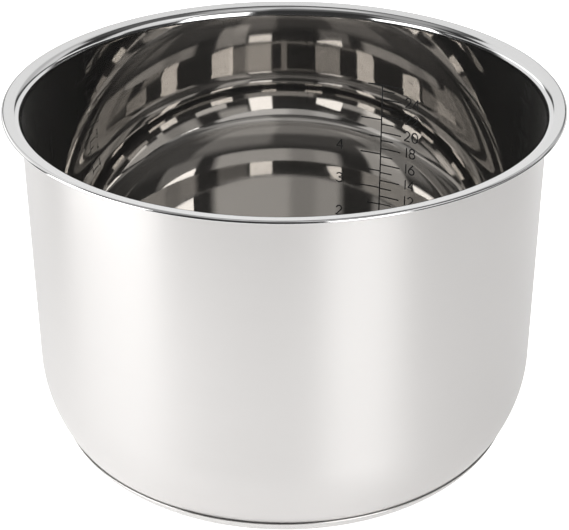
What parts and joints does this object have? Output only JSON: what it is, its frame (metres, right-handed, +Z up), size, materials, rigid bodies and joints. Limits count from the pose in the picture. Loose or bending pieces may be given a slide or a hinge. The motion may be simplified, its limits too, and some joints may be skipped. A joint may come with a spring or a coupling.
{
  "type": "electric pressure cooker inner pot",
  "caption": "Deep round steel cooking pot with a flared, hemmed lip, long curved lower corners and a capped heat-spreading base, which drops into a pressure cooker and holds the food.",
  "frame": {"origin": "centre of the flat face that the pot stands on", "axes": "+Z up along the pot's axis towards the mouth; +Y away from the picture's camera; the level scale is on the inside of the wall towards +Y and +X"},
  "size_m": [0.266, 0.266, 0.1768],
  "materials": {
    "shell_steel": "satin outside, polished with fine circumferential lines inside",
    "core_aluminium": "rolled disc, pressed between the shell and the cap",
    "cap_steel": "magnetic stainless, satin edge and concentric brushing underneath"
  },
  "bodies": {
    "root": {"pot_shell": "shell_steel", "heat_spreader": "core_aluminium", "base_cap": "cap_steel"}
  },
  "joints": []
}
